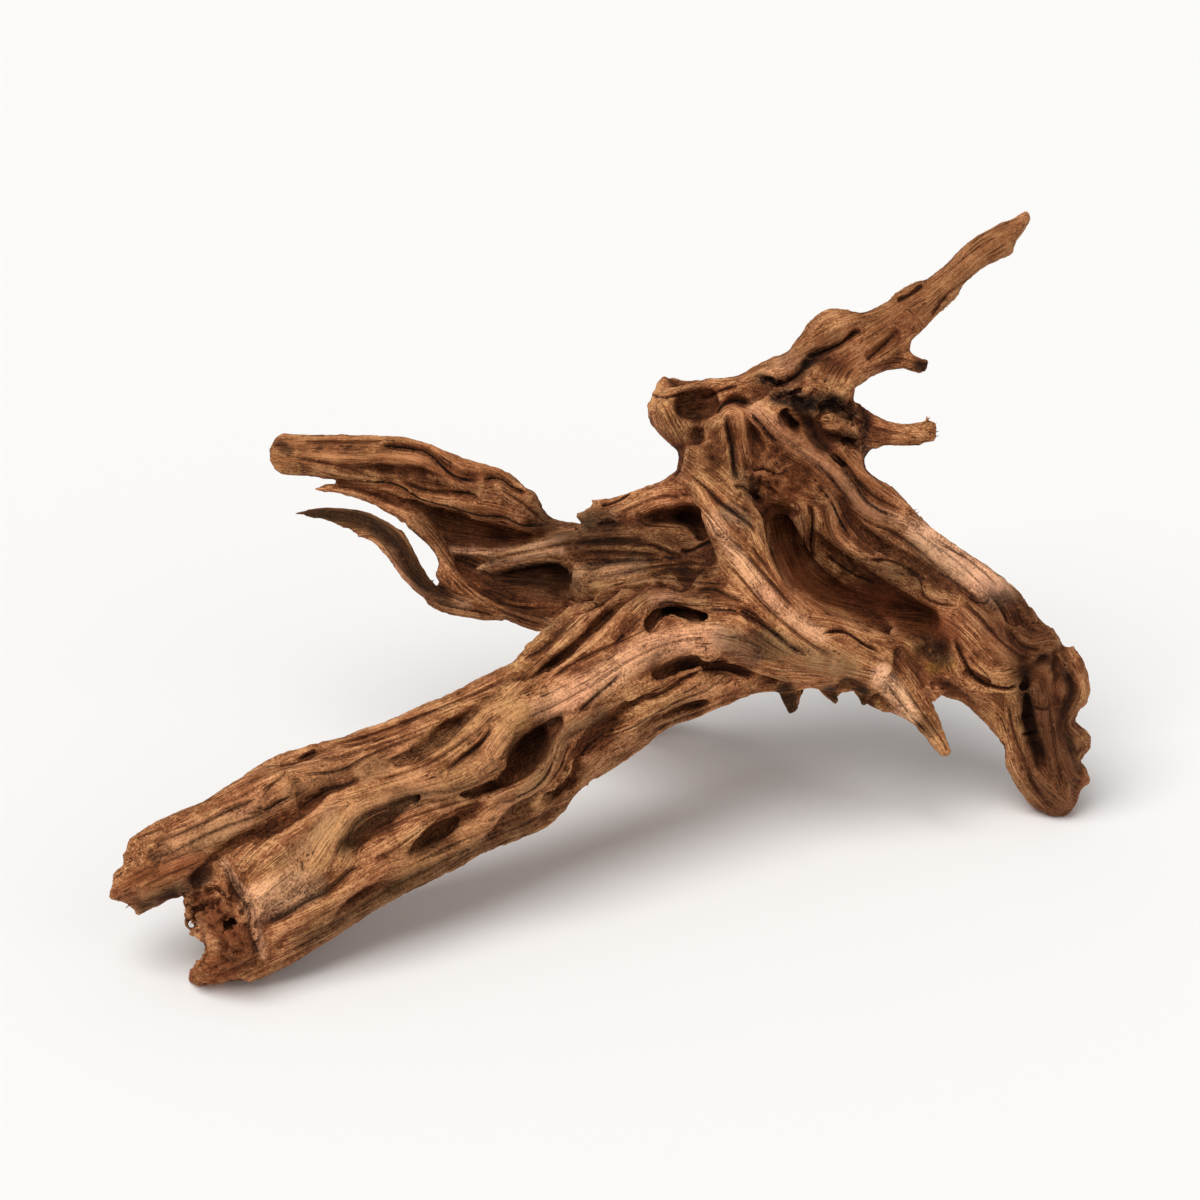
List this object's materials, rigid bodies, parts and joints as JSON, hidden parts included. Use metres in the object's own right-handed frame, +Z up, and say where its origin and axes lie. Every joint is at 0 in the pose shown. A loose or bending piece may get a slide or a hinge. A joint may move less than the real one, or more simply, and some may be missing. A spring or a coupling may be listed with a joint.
{
  "type": "driftwood",
  "caption": "Weathered root driftwood: a ribbed log, a knotted hub with a raised branch, and a hollowed arm; it stands on its log end, leg and back root.",
  "frame": {"origin": "centre of the bounding box, on the surface that the driftwood stands on", "axes": "+Z up, +X from the log's broken end towards the leg, -Y towards the side with the log's broken end"},
  "size_m": [0.4763, 0.293, 0.2844],
  "materials": {
    "weathered_wood": "dry weathered root wood, red-brown to tan, ridged along the grain, matt, with dark hollows and cracks"
  },
  "bodies": {
    "root": {"driftwood": "weathered_wood"}
  },
  "joints": []
}
